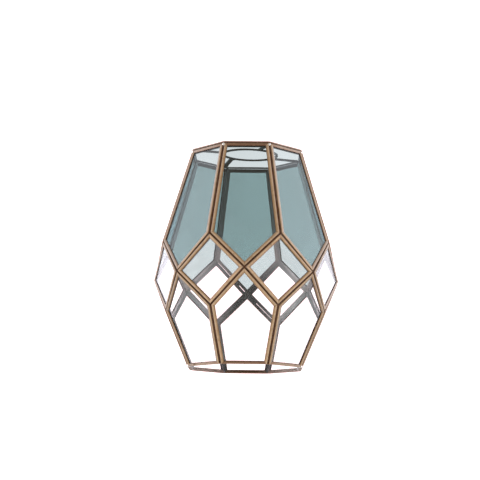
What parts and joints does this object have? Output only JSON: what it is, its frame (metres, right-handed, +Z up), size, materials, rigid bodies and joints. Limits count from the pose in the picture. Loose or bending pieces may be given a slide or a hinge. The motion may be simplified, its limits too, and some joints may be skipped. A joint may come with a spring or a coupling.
{
  "type": "leaded glass lampshade",
  "caption": "Eight-sided faceted glass shade or cloche in copper-toned metal channel, open below, with a fitter ring held in its top opening.",
  "frame": {"origin": "on the shade's axis, in the plane that the bottom edge rests on", "axes": "+Z up the shade's axis, towards the fitter ring; -Y out through the middle of the front pane; X across"},
  "size_m": [0.1608, 0.1608, 0.1908],
  "materials": {
    "smoked_glass": "polished blue-grey smoked sheet",
    "clear_glass": "polished clear sheet",
    "came": "antique copper, satin",
    "fitter": "dark bronze, satin"
  },
  "bodies": {
    "root": {"upper_pane_1": "smoked_glass", "upper_pane_2": "smoked_glass", "upper_pane_3": "smoked_glass", "upper_pane_4": "smoked_glass", "upper_pane_5": "smoked_glass", "upper_pane_6": "smoked_glass", "upper_pane_7": "smoked_glass", "upper_pane_8": "smoked_glass", "upper_came_1": "came", "upper_came_2": "came", "upper_came_3": "came", "upper_came_4": "came", "upper_came_5": "came", "upper_came_6": "came", "upper_came_7": "came", "upper_came_8": "came", "diamond_pane_1": "clear_glass", "diamond_pane_2": "clear_glass", "diamond_pane_3": "clear_glass", "diamond_pane_4": "clear_glass", "diamond_pane_5": "clear_glass", "diamond_pane_6": "clear_glass", "diamond_pane_7": "clear_glass", "diamond_pane_8": "clear_glass", "diamond_came_1": "came", "diamond_came_2": "came", "diamond_came_3": "came", "diamond_came_4": "came", "diamond_came_5": "came", "diamond_came_6": "came", "diamond_came_7": "came", "diamond_came_8": "came", "lower_pane_1": "clear_glass", "lower_pane_2": "clear_glass", "lower_pane_3": "clear_glass", "lower_pane_4": "clear_glass", "lower_pane_5": "clear_glass", "lower_pane_6": "clear_glass", "lower_pane_7": "clear_glass", "lower_pane_8": "clear_glass", "lower_came_1": "came", "lower_came_2": "came", "lower_came_3": "came", "lower_came_4": "came", "lower_came_5": "came", "lower_came_6": "came", "lower_came_7": "came", "lower_came_8": "came", "top_band": "came", "fitter_ring": "fitter", "fitter_arm_front_right": "fitter", "fitter_arm_right_back": "fitter", "fitter_arm_back_left": "fitter", "fitter_arm_left_front": "fitter"}
  },
  "joints": []
}
